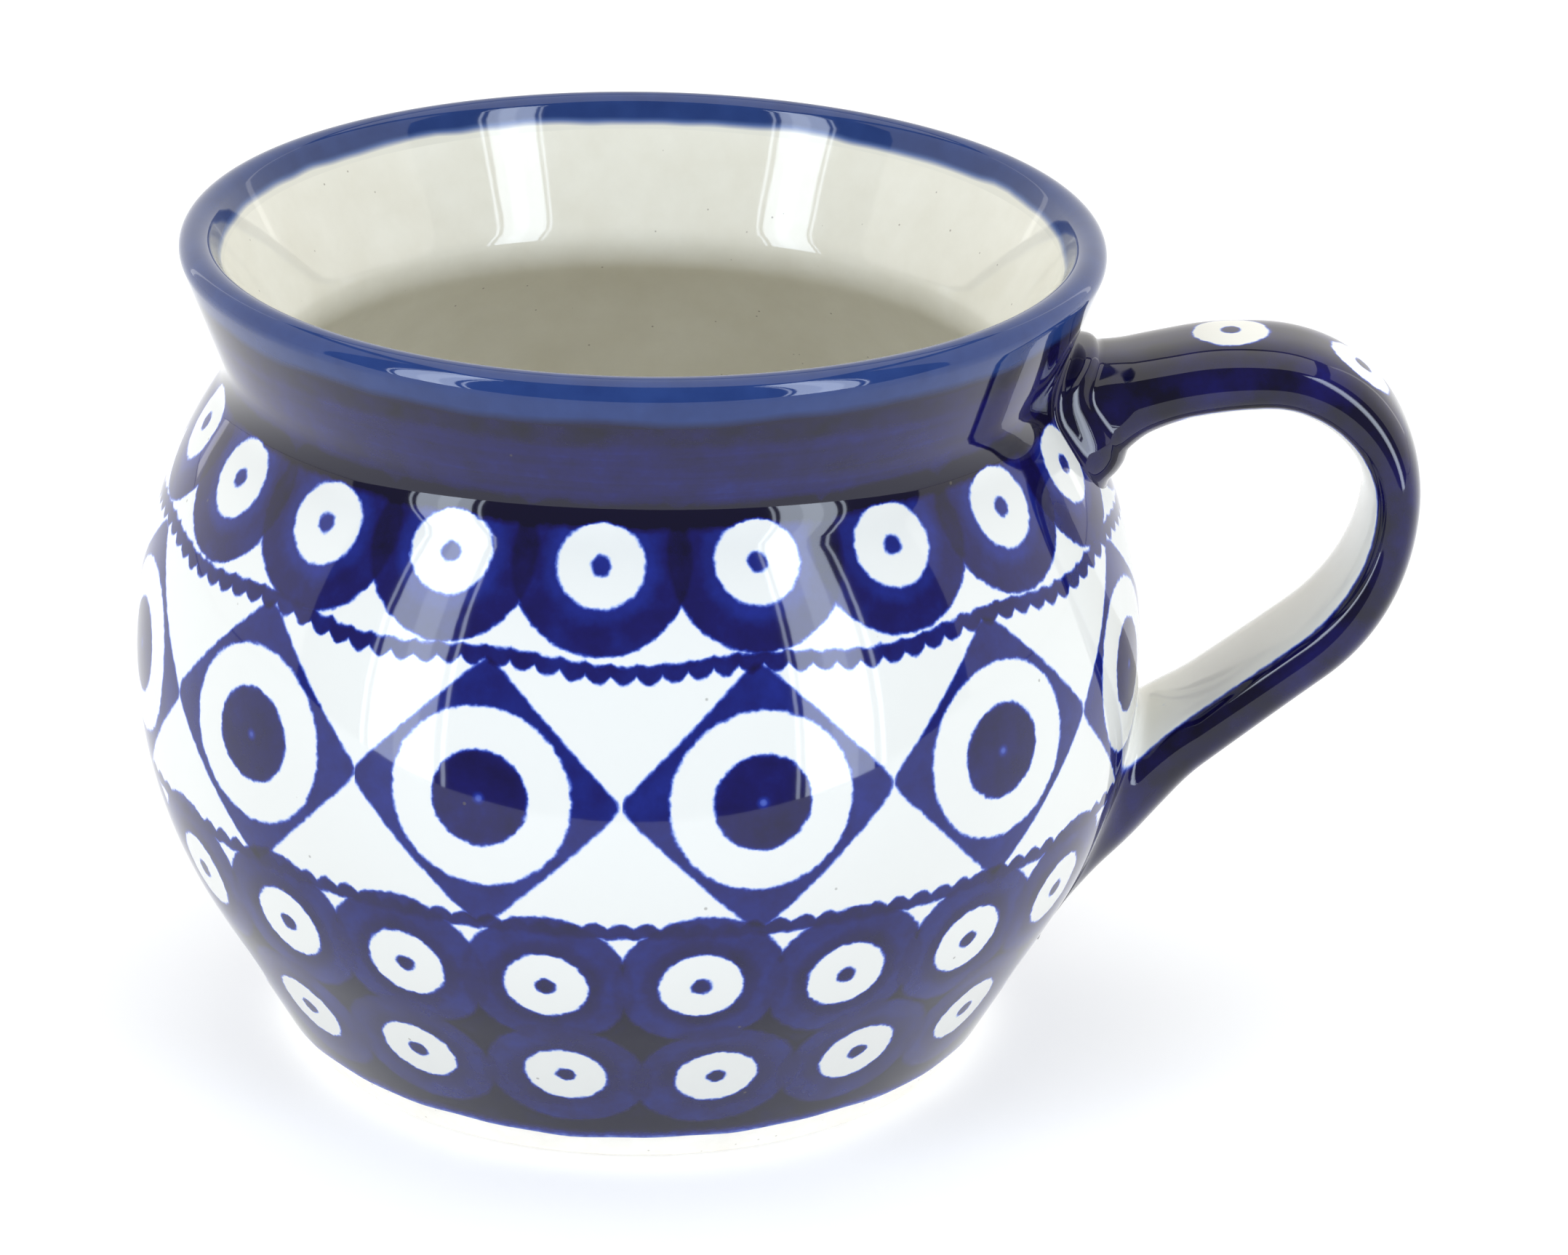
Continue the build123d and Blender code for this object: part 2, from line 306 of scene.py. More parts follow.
def select_ring(obj: Piece, low: int, high: int, add: bool = False) -> None:
    """Select the edges of one circle of an object in edit mode.

    Args:
        obj: The object.
        low: Index of the circle's first vertex.
        high: Index after its last vertex.
        add: Keep what is selected.
    """
    if not add:
        bpy.ops.mesh.select_all(action="DESELECT")
    mesh = bmesh.from_edit_mesh(obj.data)
    mesh.edges.ensure_lookup_table()
    for edge in mesh.edges:
        if all(low <= vertex.index < high for vertex in edge.verts):
            edge.select_set(True)
    bmesh.update_edit_mesh(obj.data)


def extrude_circle(z_from: float, r_from: float, z_to: float, r_to: float) -> None:
    """Extrude the selected circle to a new height and radius.

    Args:
        z_from: Height of the selected circle.
        r_from: Its radius.
        z_to: Height of the new circle.
        r_to: Its radius.
    """
    bpy.ops.mesh.extrude_region_move(TRANSFORM_OT_translate={"value": (0, 0, z_to - z_from)})
    grow = r_to / r_from
    bpy.ops.transform.resize(value=(grow, grow, 1), center_override=(0, 0, z_to))


def lay_map(piece: Piece, name: str, turns: Sequence[float], lengths: Sequence[float],
            turns_first: bool = True) -> None:
    """Lay a map on a closed skin.

    Args:
        piece: The skin.
        name: The map's name.
        turns: Each vertex's share of a turn round the skin.
        lengths: Its metres along the skin.
        turns_first: Turns run across the map, not up it.
    """
    layer = piece.data.uv_layers.new(name=name)
    for face in piece.data.polygons:
        corners = [turns[v] for v in face.vertices]
        seam = max(corners) - min(corners) > 0.5
        for loop, vertex, turn in zip(face.loop_indices, face.vertices, corners):
            place = (turn + 1 if seam and turn < 0.5 else turn, lengths[vertex])
            layer.data[loop].uv = place if turns_first else place[::-1]


@dataclass
class TurnedCoat:
    """A thin fired skin over a stretch of the outline, closed along its edges."""

    name: str
    surface: list[Stop]
    depth: float = GLAZE
    skip: int = 3
    edge_wander: Callable[[float], float] | None = None

    def build(self) -> Piece:
        """Turn the skin: the glazed side first, then the clay side from the same circle.

        Returns:
            The finished mesh object.
        """
        clear_selection()
        open_side = [stop.sunk(0.0) for stop in self.surface]
        clay_stops = self.surface[:-1:self.skip] + [self.surface[-1]]
        clay_side = [open_side[0]] + [stop.sunk(self.depth) for stop in clay_stops]
        on_axis = open_side[-1][0] < 1e-6
        bpy.ops.mesh.primitive_circle_add(vertices=STEPS_ROUND, radius=open_side[0][0],
                                          location=(0, 0, open_side[0][1]))
        piece = bpy.context.object
        piece.name = self.name
        bpy.ops.object.transform_apply(location=True, rotation=False, scale=False)
        bpy.ops.object.mode_set(mode="EDIT")
        ends = []
        for side in (open_side, clay_side):
            select_ring(piece, 0, STEPS_ROUND)
            for (r, z), (next_r, next_z) in zip(side, side[1:]):
                extrude_circle(z, r, next_z, max(next_r, 0.2 * MM))
            count = self.vertex_count(piece)
            ends.append((count - STEPS_ROUND, count))
            if on_axis:
                bpy.ops.mesh.edge_face_add()
                bpy.ops.mesh.poke()
        if not on_axis:
            select_ring(piece, *ends[0])
            select_ring(piece, *ends[1], add=True)
            bpy.ops.mesh.bridge_edge_loops()
        bpy.ops.mesh.select_all(action="SELECT")
        bpy.ops.mesh.normals_make_consistent(inside=False)
        bpy.ops.object.mode_set(mode="OBJECT")
        self.map_turns(piece)
        if self.edge_wander:
            self.wander(piece)
        bpy.ops.object.shade_smooth_by_angle(angle=radians(42))
        return piece

    @staticmethod
    def vertex_count(piece: Piece) -> int:
        """Vertices in the mesh being edited."""
        return len(bmesh.from_edit_mesh(piece.data).verts)

    def map_turns(self, piece: Piece) -> None:
        """Lay the decorator's map on the skin: turns round the mug, metres up the outline.

        Args:
            piece: The turned skin.
        """
        places = np.array([(s.r, s.z, s.along) for s in self.surface])
        co = np.array([v.co for v in piece.data.vertices])
        radius = np.hypot(co[:, 0], co[:, 1])
        gap = (radius[:, None] - places[:, 0]) ** 2 + (co[:, 2][:, None] - places[:, 1]) ** 2
        turns = np.arctan2(co[:, 1], co[:, 0]) / (2 * pi) % 1.0
        lay_map(piece, "Banding", turns, places[gap.argmin(axis=1), 2])

    def wander(self, piece: Piece) -> None:
        """Let the skin's lowest edge wander up and down its flank.

        Args:
            piece: The turned skin.
        """
        first, reach = self.surface[0], 4.0 * MM
        up_r, up_z = first.in_z, -first.in_r
        for vertex in piece.data.vertices:
            share = 1 - (vertex.co.z - first.z) / reach
            if share > 0:
                angle = atan2(vertex.co.y, vertex.co.x)
                move = min(share, 1.0) * self.edge_wander(angle)
                vertex.co.x += move * up_r * cos(angle)
                vertex.co.y += move * up_r * sin(angle)
                vertex.co.z += move * up_z


# ---- the strap handle ---------------------------------------------------------------------


@dataclass(frozen=True)
class Stretch:
    """One stretch of the strap's centre line: its length and how far it turns."""

    length: float
    turn: float

    def move(self, gone: float, heading: float) -> Point:
        """How far the line has come after part of the stretch.

        Args:
            gone: Metres along the stretch.
            heading: Direction at its start.

        Returns:
            Steps in x and z, and the new heading.
        """
        if abs(self.turn) < 1e-9:
            return gone * cos(heading), gone * sin(heading), heading
        bend = self.turn / self.length
        after = heading + bend * gone
        return (sin(after) - sin(heading)) / bend, (cos(heading) - cos(after)) / bend, after


@dataclass(frozen=True)
class Luting:
    """How the slip swells the strap where it meets the wall, in millimetres."""

    fillet: float
    thicker: float
    wider: float
    bead: float
    rings: int


LUTINGS = {End.ROOT: Luting(1.0, 1.4, 2.2, 0.75, 18), End.TAIL: Luting(1.9, 0.7, 2.8, 0.0, 14)}
BEAD_WIDTH = 3.2 * MM


@dataclass
class StrapHandle:
    """The pulled strap's coat: one skin from the neck round to the belly."""

    outline: Outline
    crest: Pair = (64.7 * MM, 75.2 * MM)
    root_insert: float = 5.0 * MM
    root_arc: float = 37.8 * MM
    root_turn: float = radians(29)
    crest_arc: float = 13.7 * MM
    fall_arc: float = 21.7 * MM
    fall_turn: float = radians(51)
    return_run: float = 15.6 * MM
    tail_arc: float = 25.0 * MM
    tail_turn: float = radians(9)
    tail_run: float = 22.0 * MM
    section_power: float = 2.6
    thick: tuple[Pair, ...] = (
        (0.0, 5.2), (0.15, 3.6), (0.27, 3.2), (0.43, 2.6), (0.6, 3.1), (0.85, 3.5), (1.0, 1.3))
    wide: tuple[Pair, ...] = ((0.0, 7.0), (0.43, 7.4), (1.0, 7.9))
    columns: int = 56
    rings: int = 120
    collar_reach: float = 6.5 * MM

    def __post_init__(self) -> None:
        """String the centre line together and find its start."""
        self.line = [
            Stretch(self.root_insert, 0.0),
            Stretch(self.root_arc * self.root_turn, -self.root_turn),
            Stretch(self.crest_arc * pi / 2, -pi / 2),
            Stretch(self.fall_arc * self.fall_turn, -self.fall_turn),
            Stretch(self.return_run, 0.0),
            Stretch(self.tail_arc * self.tail_turn, self.tail_turn),
            Stretch(self.tail_run, 0.0),
        ]
        self.length = sum(part.length for part in self.line)
        self.to_crest = self.line[0].length + self.line[1].length
        self.origin = (0.0, 0.0)
        x, z, _ = self.place(self.to_crest)
        self.origin = (self.crest[0] - x, self.crest[1] - z)
        outside = [s for s in self.outline.stops if s.along <= self.outline.marks[3][0]]
        self.skin = np.array([(s.r, s.z, -s.in_r, -s.in_z) for s in outside])

    def place(self, gone: float) -> Point:
        """Centre and heading of the strap at a way along it.

        Args:
            gone: Metres from the strap's hidden start.

        Returns:
            x, z and the heading's angle.
        """
        (x, z), heading = self.origin, self.root_turn
        for part in self.line:
            if gone <= part.length or part is self.line[-1]:
                step_x, step_z, heading = part.move(gone, heading)
                return x + step_x, z + step_z, heading
            step_x, step_z, heading = part.move(part.length, heading)
            x, z, gone = x + step_x, z + step_z, gone - part.length
        return x, z, heading

    @staticmethod
    def eased(stations: tuple[Pair, ...], share: float) -> float:
        """Value at a share of the path in metres, eased between stations in millimetres.

        Args:
            stations: Shares with their values.
            share: Where on the path.

        Returns:
            The eased value.
        """
        for (low, first), (high, last) in zip(stations, stations[1:]):
            if share <= high:
                turn = pi * (share - low) / (high - low)
                return (first + (last - first) * (1 - cos(turn)) / 2) * MM
        return stations[-1][1] * MM

    def flare(self, end: End, gap: float) -> Pair:
        """What the luting adds to the strap at a distance from the wall.

        Args:
            end: Which end of the strap.
            gap: Distance from the wall.

        Returns:
            Additions to the half thickness and the half width.
        """
        near = max(0.0, 1 - max(gap, 0.0) / self.collar_reach) ** 1.6 * MM
        slip = LUTINGS[end]
        bare = max(0.0, 1 - max(gap, 0.0) / (slip.fillet * MM))
        curve = slip.fillet * MM * (1 - sqrt(max(0.0, 1 - bare * bare)))
        across = (gap - BEAD_WIDTH / 2) / (BEAD_WIDTH / 2)
        roll = slip.bead * MM * sqrt(1 - across * across) if abs(across) < 1 else 0.0
        return curve + roll + slip.thicker * near, curve + roll + slip.wider * near

    def point(self, gone: float, column: float, added: Pair) -> Point:
        """Point of the strap's glazed surface.

        Args:
            gone: Way along the strap.
            column: Angle round the section; a quarter turn is the outer spine.
            added: What the luting adds to thickness and width.

        Returns:
            x, y and z.
        """
        x, z, heading = self.place(gone)
        share = min(max(gone / self.length, 0.0), 1.0)
        half_thick = self.eased(self.thick, share) + GLAZE + added[0]
        half_wide = self.eased(self.wide, share) + GLAZE + added[1]
        power = 2 / self.section_power
        c, s = cos(column), sin(column)
        across = half_wide * abs(c) ** power * (1 if c >= 0 else -1)
        out = half_thick * abs(s) ** power * (1 if s >= 0 else -1)
        return x - out * sin(heading), across, z + out * cos(heading)

    def wall_gap(self, place: Point) -> float:
        """Distance of a point from the body's glazed surface, negative inside it.

        Args:
            place: The point.

        Returns:
            The signed distance.
        """
        r, z = hypot(place[0], place[1]), place[2]
        away = (self.skin[:, 0] - r) ** 2 + (self.skin[:, 1] - z) ** 2
        near_r, near_z, out_r, out_z = self.skin[away.argmin()]
        return (r - near_r) * out_r + (z - near_z) * out_z

    def reach(self, end: End, column: float, gap: float) -> float:
        """Way along the strap at which a column stands off the wall by a gap.

        Args:
            end: Which end of the strap.
            column: Angle round the section.
            gap: Wanted distance from the wall.

        Returns:
            The way along the strap.
        """
        added = self.flare(end, gap)
        span = 22.0 * MM
        inside = 0.0 if end is End.ROOT else self.length
        outside = span if end is End.ROOT else self.length - 1.6 * span
        for _ in range(22):
            middle = (inside + outside) / 2
            if self.wall_gap(self.point(middle, column, added)) < gap:
                inside = middle
            else:
                outside = middle
        return (inside + outside) / 2

    def gaps(self, end: End) -> list[float]:
        """Distances from the wall of the luting's rings, from just under the body's glaze out."""
        count = LUTINGS[end].rings
        return [-0.05 * MM] + [self.collar_reach * (i / count) ** 1.25 for i in range(count + 1)]

    def surface(self) -> np.ndarray:
        """All points of the glazed surface.

        Returns:
            Rings by columns by x, y, z and the way along the strap.
        """
        rows = []
        root, tail = self.gaps(End.ROOT), self.gaps(End.TAIL)
        for index in range(self.columns):
            column = 2 * pi * index / self.columns
            line = []
            for gap in root:
                gone = self.reach(End.ROOT, column, gap)
                line.append((*self.point(gone, column, self.flare(End.ROOT, gap)), gone))
            ends = [self.reach(End.TAIL, column, gap) for gap in tail]
            first, last = line[-1][3], ends[-1]
            for ring in range(1, self.rings):
                gone = first + (last - first) * ring / self.rings
                line.append((*self.point(gone, column, (0.0, 0.0)), gone))
            for gap, gone in zip(reversed(tail), reversed(ends)):
                line.append((*self.point(gone, column, self.flare(End.TAIL, gap)), gone))
            rows.append(line)
        return np.array(rows).transpose(1, 0, 2)

    def build(self) -> Piece:
        """Pull a straight strap ring by ring, bend it into place and give it a wall.

        Returns:
            The finished coat.
        """
        surface = self.surface()
        clear_selection()
        bpy.ops.mesh.primitive_circle_add(vertices=self.columns, radius=1.0, location=(0, 0, 0))
        piece = bpy.context.object
        piece.name = "handle_coat"
        bpy.ops.object.mode_set(mode="EDIT")
        bpy.ops.mesh.select_all(action="SELECT")
        for _ in range(len(surface) - 1):
            bpy.ops.mesh.extrude_region_move(TRANSFORM_OT_translate={"value": (0, 0, 1)})
        bpy.ops.object.mode_set(mode="OBJECT")
        mesh = piece.data
        spine = self.spine_lengths(surface)
        ring_of = [round(v.co.z) for v in mesh.vertices]
        column_of = [round(atan2(v.co.y, v.co.x) / (2 * pi) * self.columns) % self.columns
                     for v in mesh.vertices]
        places = surface[ring_of, column_of]
        lay_map(piece, "Strap", [column / self.columns for column in column_of],
                np.interp(places[:, 3], *spine), turns_first=False)
        for vertex, place in zip(mesh.vertices, places):
            vertex.co = place[:3]
        bpy.ops.object.mode_set(mode="EDIT")
        bpy.ops.mesh.select_all(action="SELECT")
        bpy.ops.mesh.normals_make_consistent(inside=False)
        bpy.ops.object.mode_set(mode="OBJECT")
        wall = piece.modifiers.new("Wall", "SOLIDIFY")
        wall.thickness = GLAZE
        wall.offset = -1.0
        bpy.ops.object.modifier_apply(modifier=wall.name)
        bpy.ops.object.shade_smooth_by_angle(angle=radians(60))
        return piece

    def spine_lengths(self, surface: np.ndarray) -> tuple[np.ndarray, np.ndarray]:
        """Real length along the outer spine for each way along the centre line.

        Args:
            surface: The strap's points.

        Returns:
            Ways along the centre line and the spine's lengths from the crest.
        """
        spine = surface[:, self.columns // 4]
        steps = np.linalg.norm(np.diff(spine[:, :3], axis=0), axis=1)
        lengths = np.concatenate(([0.0], np.cumsum(steps)))
        order = np.argsort(spine[:, 3])
        lengths -= np.interp(self.to_crest, spine[order, 3], lengths[order])
        return spine[order, 3], lengths[order]


# ---- finishes -------------------------------------------------------------------------------

SMOOTH = {"interpolation_type": "SMOOTHSTEP"}
# what fired cobalt looks like on white clay, from none over one print to several
COBALT_ON_WHITE = (
    (0.0, "#d3d2cb"), (0.06, "#a3b1d0"), (0.15, "#5063ae"), (0.26, "#1b277a"),
    (0.34, "#151c61"), (0.41, "#13114d"), (0.50, "#100c3a"), (0.60, "#0a071f"))


def linear(colour: str) -> tuple[float, ...]:
    """Turn an sRGB hex colour such as "#2b4a8f" into linear red, green, blue and alpha."""
    parts = [int(colour[i:i + 2], 16) / 255 for i in (1, 3, 5)]
    return (*[p / 12.92 if p <= 0.04045 else ((p + 0.055) / 1.055) ** 2.4 for p in parts], 1.0)


class Bench:
    """A material's or the surround's node tree while it is laid out."""

    def __init__(self, owner: bpy.types.World | str) -> None:
        """Clear a tree.

        Args:
            owner: The surround, or the name of a new material.
        """
        self.owner = bpy.data.materials.new(owner) if isinstance(owner, str) else owner
        self.owner.use_nodes = True
        self.tree = self.owner.node_tree
        self.tree.nodes.clear()

    @cached_property
    def place(self) -> Socket:
        """Where the surface is, in the mug's own metres."""
        return self.put("TexCoord", out="Object")

    def read(self, uv_map: str) -> tuple[Socket, Socket]:
        """Both ways across a piece's own map."""
        laid = self.put("UVMap", uv_map=uv_map)
        return self.put("SeparateXYZ", laid, out="X"), self.put("SeparateXYZ", laid, out="Y")

    def put(self, kind: str, *feeds: object, out: int | str = 0, stops: tuple = (),
            **settings: object) -> Socket:
        """Add a node with its settings and links.

        Args:
            kind: The node's type without its ShaderNode prefix, then its operation if it has one.
            feeds: A value or an output for each input in order.
            out: Which output to hand back.
            stops: Places from 0 to 1 with their hex colours, for a colour ramp.
            settings: Inputs by their own capitalised names; the node's settings in lower case.

        Returns:
            The chosen output, or the first input of an output node.
        """
        kind, _, operation = kind.partition(" ")
        node = self.tree.nodes.new("ShaderNode" + kind)
        if operation:
            node.operation = operation
        named = {key: value for key, value in settings.items() if key[0].isupper()}
        for key in settings.keys() - named.keys():
            setattr(node, key, settings[key])
        for index, (position, shade) in enumerate(stops):
            elements = node.color_ramp.elements
            stop = elements[index] if index < len(elements) else elements.new(1.0)
            stop.position, stop.color = position, linear(shade)
        sockets = list(zip(node.inputs, feeds))
        sockets += [(node.inputs[key.replace("_", " ")], feed) for key, feed in named.items()]
        for socket, feed in sockets:
            if isinstance(feed, Socket):
                self.tree.links.new(feed, socket)
            else:
                socket.default_value = feed
        return node.outputs[out] if node.outputs else node.inputs[0]

    def clouded(self, size: float, detail: float, roughness: float, low: str, high: str) -> Socket:
        """Soft clouds of a size in metres, between two hex colours."""
        cloud = self.put("TexNoise", Vector=self.place, Scale=1 / size, Detail=detail, Roughness=roughness)
        return self.put("ValToRGB", cloud, stops=((0.3, low), (0.7, high)))

    def specked(self, shade: Socket, apart: float, small: float, share: float, iron: str) -> Socket:
        """Sprinkle the few iron specks that stoneware shows.

        Args:
            shade: The clay's colour.
            apart: Metres from speck to speck.
            small: A speck's size as a share of that.
            share: How dark a speck is.
            iron: Its colour.

        Returns:
            The specked colour.
        """
        cells = self.put("TexVoronoi", Vector=self.place, Scale=1 / apart, out="Distance")
        spot = self.put("MapRange", cells, small, 2 * small, share, 0.0)
        return self.put("MixRGB", spot, shade, linear(iron))

    def finish(self, **settings: object) -> bpy.types.Material:
        """Close the material with a shader whose inputs are given by name."""
        self.put("OutputMaterial", self.put("BsdfPrincipled", **settings))
        return self.owner


@dataclass(frozen=True)
class ClearGlaze:
    """A fired transparent glaze: glassy and smooth, with the faint waviness of a dipped coat.

    The gloss is near mirror-like, and window reflections wobble along their edges.
    """

    roughness: float = 0.045
    ior: float = 1.47
    wave_size: float = 16.0 * MM
    wave_height: float = 0.022 * MM
    peel_size: float = 2.6 * MM
    peel_height: float = 0.004 * MM

    def close(self, bench: Bench, colour: Socket) -> bpy.types.Material:
        """Put the glaze over a colour and finish the material.

        Args:
            bench: The material being laid out.
            colour: What shows through the glaze.

        Returns:
            The finished material.
        """
        wave = bench.put("TexNoise", Vector=bench.place, Scale=1 / self.wave_size, Detail=1.0,
                         Roughness=0.4)
        peel = bench.put("TexNoise", Vector=bench.place, Scale=1 / self.peel_size, Detail=1.0)
        tall = bench.put("Math MULTIPLY", peel, self.peel_height)
        height = bench.put("Math MULTIPLY_ADD", wave, self.wave_height, tall)
        bump = bench.put("Bump", Strength=1.0, Distance=1.0, Height=height)
        return bench.finish(Base_Color=colour, Roughness=self.roughness, IOR=self.ior, Normal=bump)


class Stamping:
    """Cobalt pressed on white clay with cut sponges: what the body and the strap share."""

    bleed = 0.32 * MM      # half the width of a print's soft edge
    grain = 1.1 * MM       # the sponge's pores
    slip = 0.4 * MM        # how far the hand misses a stamp's place
    dot = 0.95 * MM        # radius of an eye's blue middle

    def __init__(self, name: str, uv_map: str, ragged: float, roughness: float) -> None:
        """Start the material and the prints' ragged edge.

        Args:
            name: The material's name.
            uv_map: The piece's own map.
            ragged: How far the edge strays.
            roughness: How much of its finer grain shows.
        """
        self.bench = Bench(name)
        self.put, self.place = self.bench.put, self.bench.place
        self.across, self.up = self.bench.read(uv_map)
        pores = self.put("TexNoise", Vector=self.place, Scale=1 / self.grain, Detail=2.0,
                         Roughness=roughness)
        self.fray = self.put("Math MULTIPLY", self.put("Math SUBTRACT", pores, 0.5), 2 * ragged)

    def lay_over(self, first: Socket, second: Socket, build_up: float) -> Socket:
        """Put one print over another; a share of the thinner one adds to the thicker."""
        least = self.put("Math MINIMUM", first, second)
        return self.put("Math MULTIPLY_ADD", least, build_up, self.put("Math MAXIMUM", first, second))

    def cut_out(self, amount: Socket, mask: Socket) -> Socket:
        """Leave no cobalt where a mask is one."""
        return self.put("Math MULTIPLY", amount, self.put("Math SUBTRACT", 1.0, mask))

    def edge(self, value: Socket, limit: float, soft: float) -> Socket:
        """One inside a distance, nought outside it, with a soft edge between."""
        return self.put("MapRange", value, limit - soft, limit + soft, 1.0, 0.0, **SMOOTH)

    def ring(self, frayed: Socket, outside: float, inside: float) -> Socket:
        """One between two radii."""
        middle = self.edge(frayed, inside, self.bleed)
        return self.put("Math SUBTRACT", self.edge(frayed, outside, self.bleed), middle)

    def from_middle(self, across: Socket, up: Socket, number: Socket,
                    seed: float) -> tuple[Socket, Socket, Socket]:
        """Measure from a stamp's middle, with the hand's small misses.

        Args:
            across: Metres across from the stamp's planned middle.
            up: Metres up from it.
            number: The stamp's number in its row.
            seed: Makes the misses differ between rows.

        Returns:
            The two lengths as a vector, the distance, and the distance with a ragged edge.
        """
        key = self.put("Math ADD", number, seed)
        dice = self.put("TexWhiteNoise", W=key, noise_dimensions="1D", out="Color")
        miss = self.put("VectorMath ADD", dice, (-0.5, -0.5, -0.5))
        pair = self.put("CombineXYZ", across, up, 0.0)
        offset = self.put("VectorMath MULTIPLY_ADD", miss, (2 * self.slip, 2 * self.slip, 0), pair)
        distance = self.put("VectorMath LENGTH", offset, out="Value")
        return offset, distance, self.put("Math ADD", distance, self.fray)


@dataclass(frozen=True)
class StampRow:
    """A row of round stamps: how many, degrees of the first, and how high up the outline."""

    count: int
    first: float
    along: float
    seed: float
    inner: float = 0.8     # cobalt next to the eye
    outer: float = 1.03    # and towards the disc's edge
    build_up: float = 0.1
    big: float = 8.8 * MM
    eye: float = 4.3 * MM


@dataclass(frozen=True)
class WavyLine:
    """One of the two brushed lines beside the diamonds, in millimetres from their middle."""

    base: float
    sag: float
    wave: float
    half: float


class CobaltStamping(Stamping):
    """Underglaze cobalt sponge-stamped on white stoneware, then dipped in clear glaze.

    Cobalt bleeds pale blue at its edges and turns blackish violet where stamps overlap.
    """

    full = 2.5                         # cobalt at the far end of the colours
    diamond_half = 14.5 * MM
    diamond_white, diamond_core = 9.25 * MM, 4.85 * MM
    blunt = 0.75 * MM                  # how round a diamond's corners are
    ripples_round = 126
    scallop = 0.26 * MM
    lines = (WavyLine(14.1, 0.5, -0.55, 0.62), WavyLine(-13.9, 0.0, 0.45, 0.58))

    def __init__(self, outline: Outline) -> None:
        """Start the coat and place its rows on the outline."""
        super().__init__("stamped_cobalt_under_clear_glaze", "Banding", 0.34 * MM, 0.6)
        self.turns, self.rise = self.across, self.up
        heights = (69.3 * MM, 47.2 * MM, 26.4 * MM, 13.4 * MM, 75.0 * MM)
        self.top, self.middle, self.low, self.lowest, self.crease = map(outline.along_at_height, heights)
        self.rim = outline.outer_rim()
        self.diamond_row = StampRow(12, -134.9, self.middle, 5.0)

    def rows(self) -> tuple[StampRow, ...]:
        """The eye rows: under the neck, below the diamonds, above the foot."""
        return (StampRow(19, -93.2, self.top, 11.0, build_up=0.26),
                StampRow(21, -132.5, self.low, 23.0, 1.16, 0.93),
                StampRow(18, -117.8, self.lowest, 37.0, 1.12, 0.96))

    def count_off(self, row: StampRow, shift: float) -> tuple[Socket, Socket]:
        """Number the stamps of a row and measure from the middle of one.

        Args:
            row: The row.
            shift: 0.5 takes the nearest stamp; 0 and 1 the two on either side.

        Returns:
            The stamp's number and the pitches from its middle.
        """
        count = float(row.count)
        places = self.put("Math MULTIPLY_ADD", self.turns, count, -row.first / 360 * count)
        whole = self.put("Math FLOOR", self.put("Math ADD", places, shift))
        apart = self.put("Math SUBTRACT", places, whole)
        return self.put("Math WRAP", whole, count, 0.0), apart

    def from_stamp(self, row: StampRow, shift: float) -> tuple[Socket, Socket, Socket]:
        """Measure from the middle of one of a row's stamps, counted off in the same way.

        Args:
            row: The row.
            shift: Which stamp.

        Returns:
            What measuring from the middle gives.
        """
        number, apart = self.count_off(row, shift)
        flat = self.put("VectorMath MULTIPLY", self.place, (1, 1, 0))
        radius = self.put("VectorMath LENGTH", flat, out="Value")
        across = self.put("Math MULTIPLY", apart, self.put("Math MULTIPLY", radius, 2 * pi / row.count))
        return self.from_middle(across, self.put("Math SUBTRACT", self.rise, row.along), number, row.seed)

    def material(self) -> bpy.types.Material:
        """Lay out the decorated coat.

        Returns:
            The finished material.
        """
        put = self.put
        amount = blank = cover = put("Math MULTIPLY", self.rise, 0.0)
        for row in self.rows():
            amount, blank, cover = self.eyes(amount, blank, cover, row)
        amount = self.lay_over(amount, self.waves(), 0.14)
        below = put("MapRange", self.rise, self.crease - 1.0 * MM, self.crease + 0.6 * MM, 1.0, 0.0)
        amount = put("Math MULTIPLY", amount, below)
        foot = self.cut_out(self.foot_band(), cover)
        amount = self.lay_over(amount, put("Math ADD", self.neck_band(), foot), 0.5)
        amount = self.diamonds(self.cut_out(amount, blank))
        cloud = put("TexNoise", Vector=self.place, Scale=1 / (4.0 * MM), Detail=4.0, Roughness=0.62)
        amount = put("Math MULTIPLY", amount, put("MapRange", cloud, 0.25, 0.75, 0.84, 1.16))
        shade = put("ValToRGB", put("Math MULTIPLY", amount, 1 / self.full), stops=COBALT_ON_WHITE)
        shade = self.bench.specked(shade, 4.5 * MM, 0.025, 0.5, "#5a5348")
        return ClearGlaze().close(self.bench, shade)

    def neck_band(self) -> Socket:
        """The cobalt brushed round the neck: full at the crease, streaked thinner above it, and darker
        again just under the lip as painted shade.

        Returns:
            How much cobalt it leaves, the painted shade under the lip included.
        """
        put = self.put
        height = put("Math ADD", self.rise, self.fray)
        full = put("MapRange", height, self.top + 3.2 * MM, self.top + 4.5 * MM, 0.0, 1.5, **SMOOTH)
        thinner = put("MapRange", height, self.top + 5.2 * MM, self.top + 6.8 * MM, 0.0, 0.46)
        # painted shade: the thinning is held back just under the outward-leaning lip, so the band reads
        # darker there
        painted_shade_under_lip = put("MapRange", height, self.rim - 2.8 * MM, self.rim - 1.6 * MM, 1.0, 0.35)
        thinner = put("Math MULTIPLY", thinner, painted_shade_under_lip)
        swept = put("VectorMath MULTIPLY", self.place, (1 / (26 * MM), 1 / (26 * MM), 1 / MM))
        hairs = put("TexNoise", Vector=swept, Scale=1.0, Detail=3.0, Roughness=0.6, Distortion=0.4)
        thinner = put("Math MULTIPLY", thinner, put("MapRange", hairs, 0.3, 0.7, 1.1, 0.6))
        return put("Math MAXIMUM", put("Math SUBTRACT", full, thinner), 0.0)

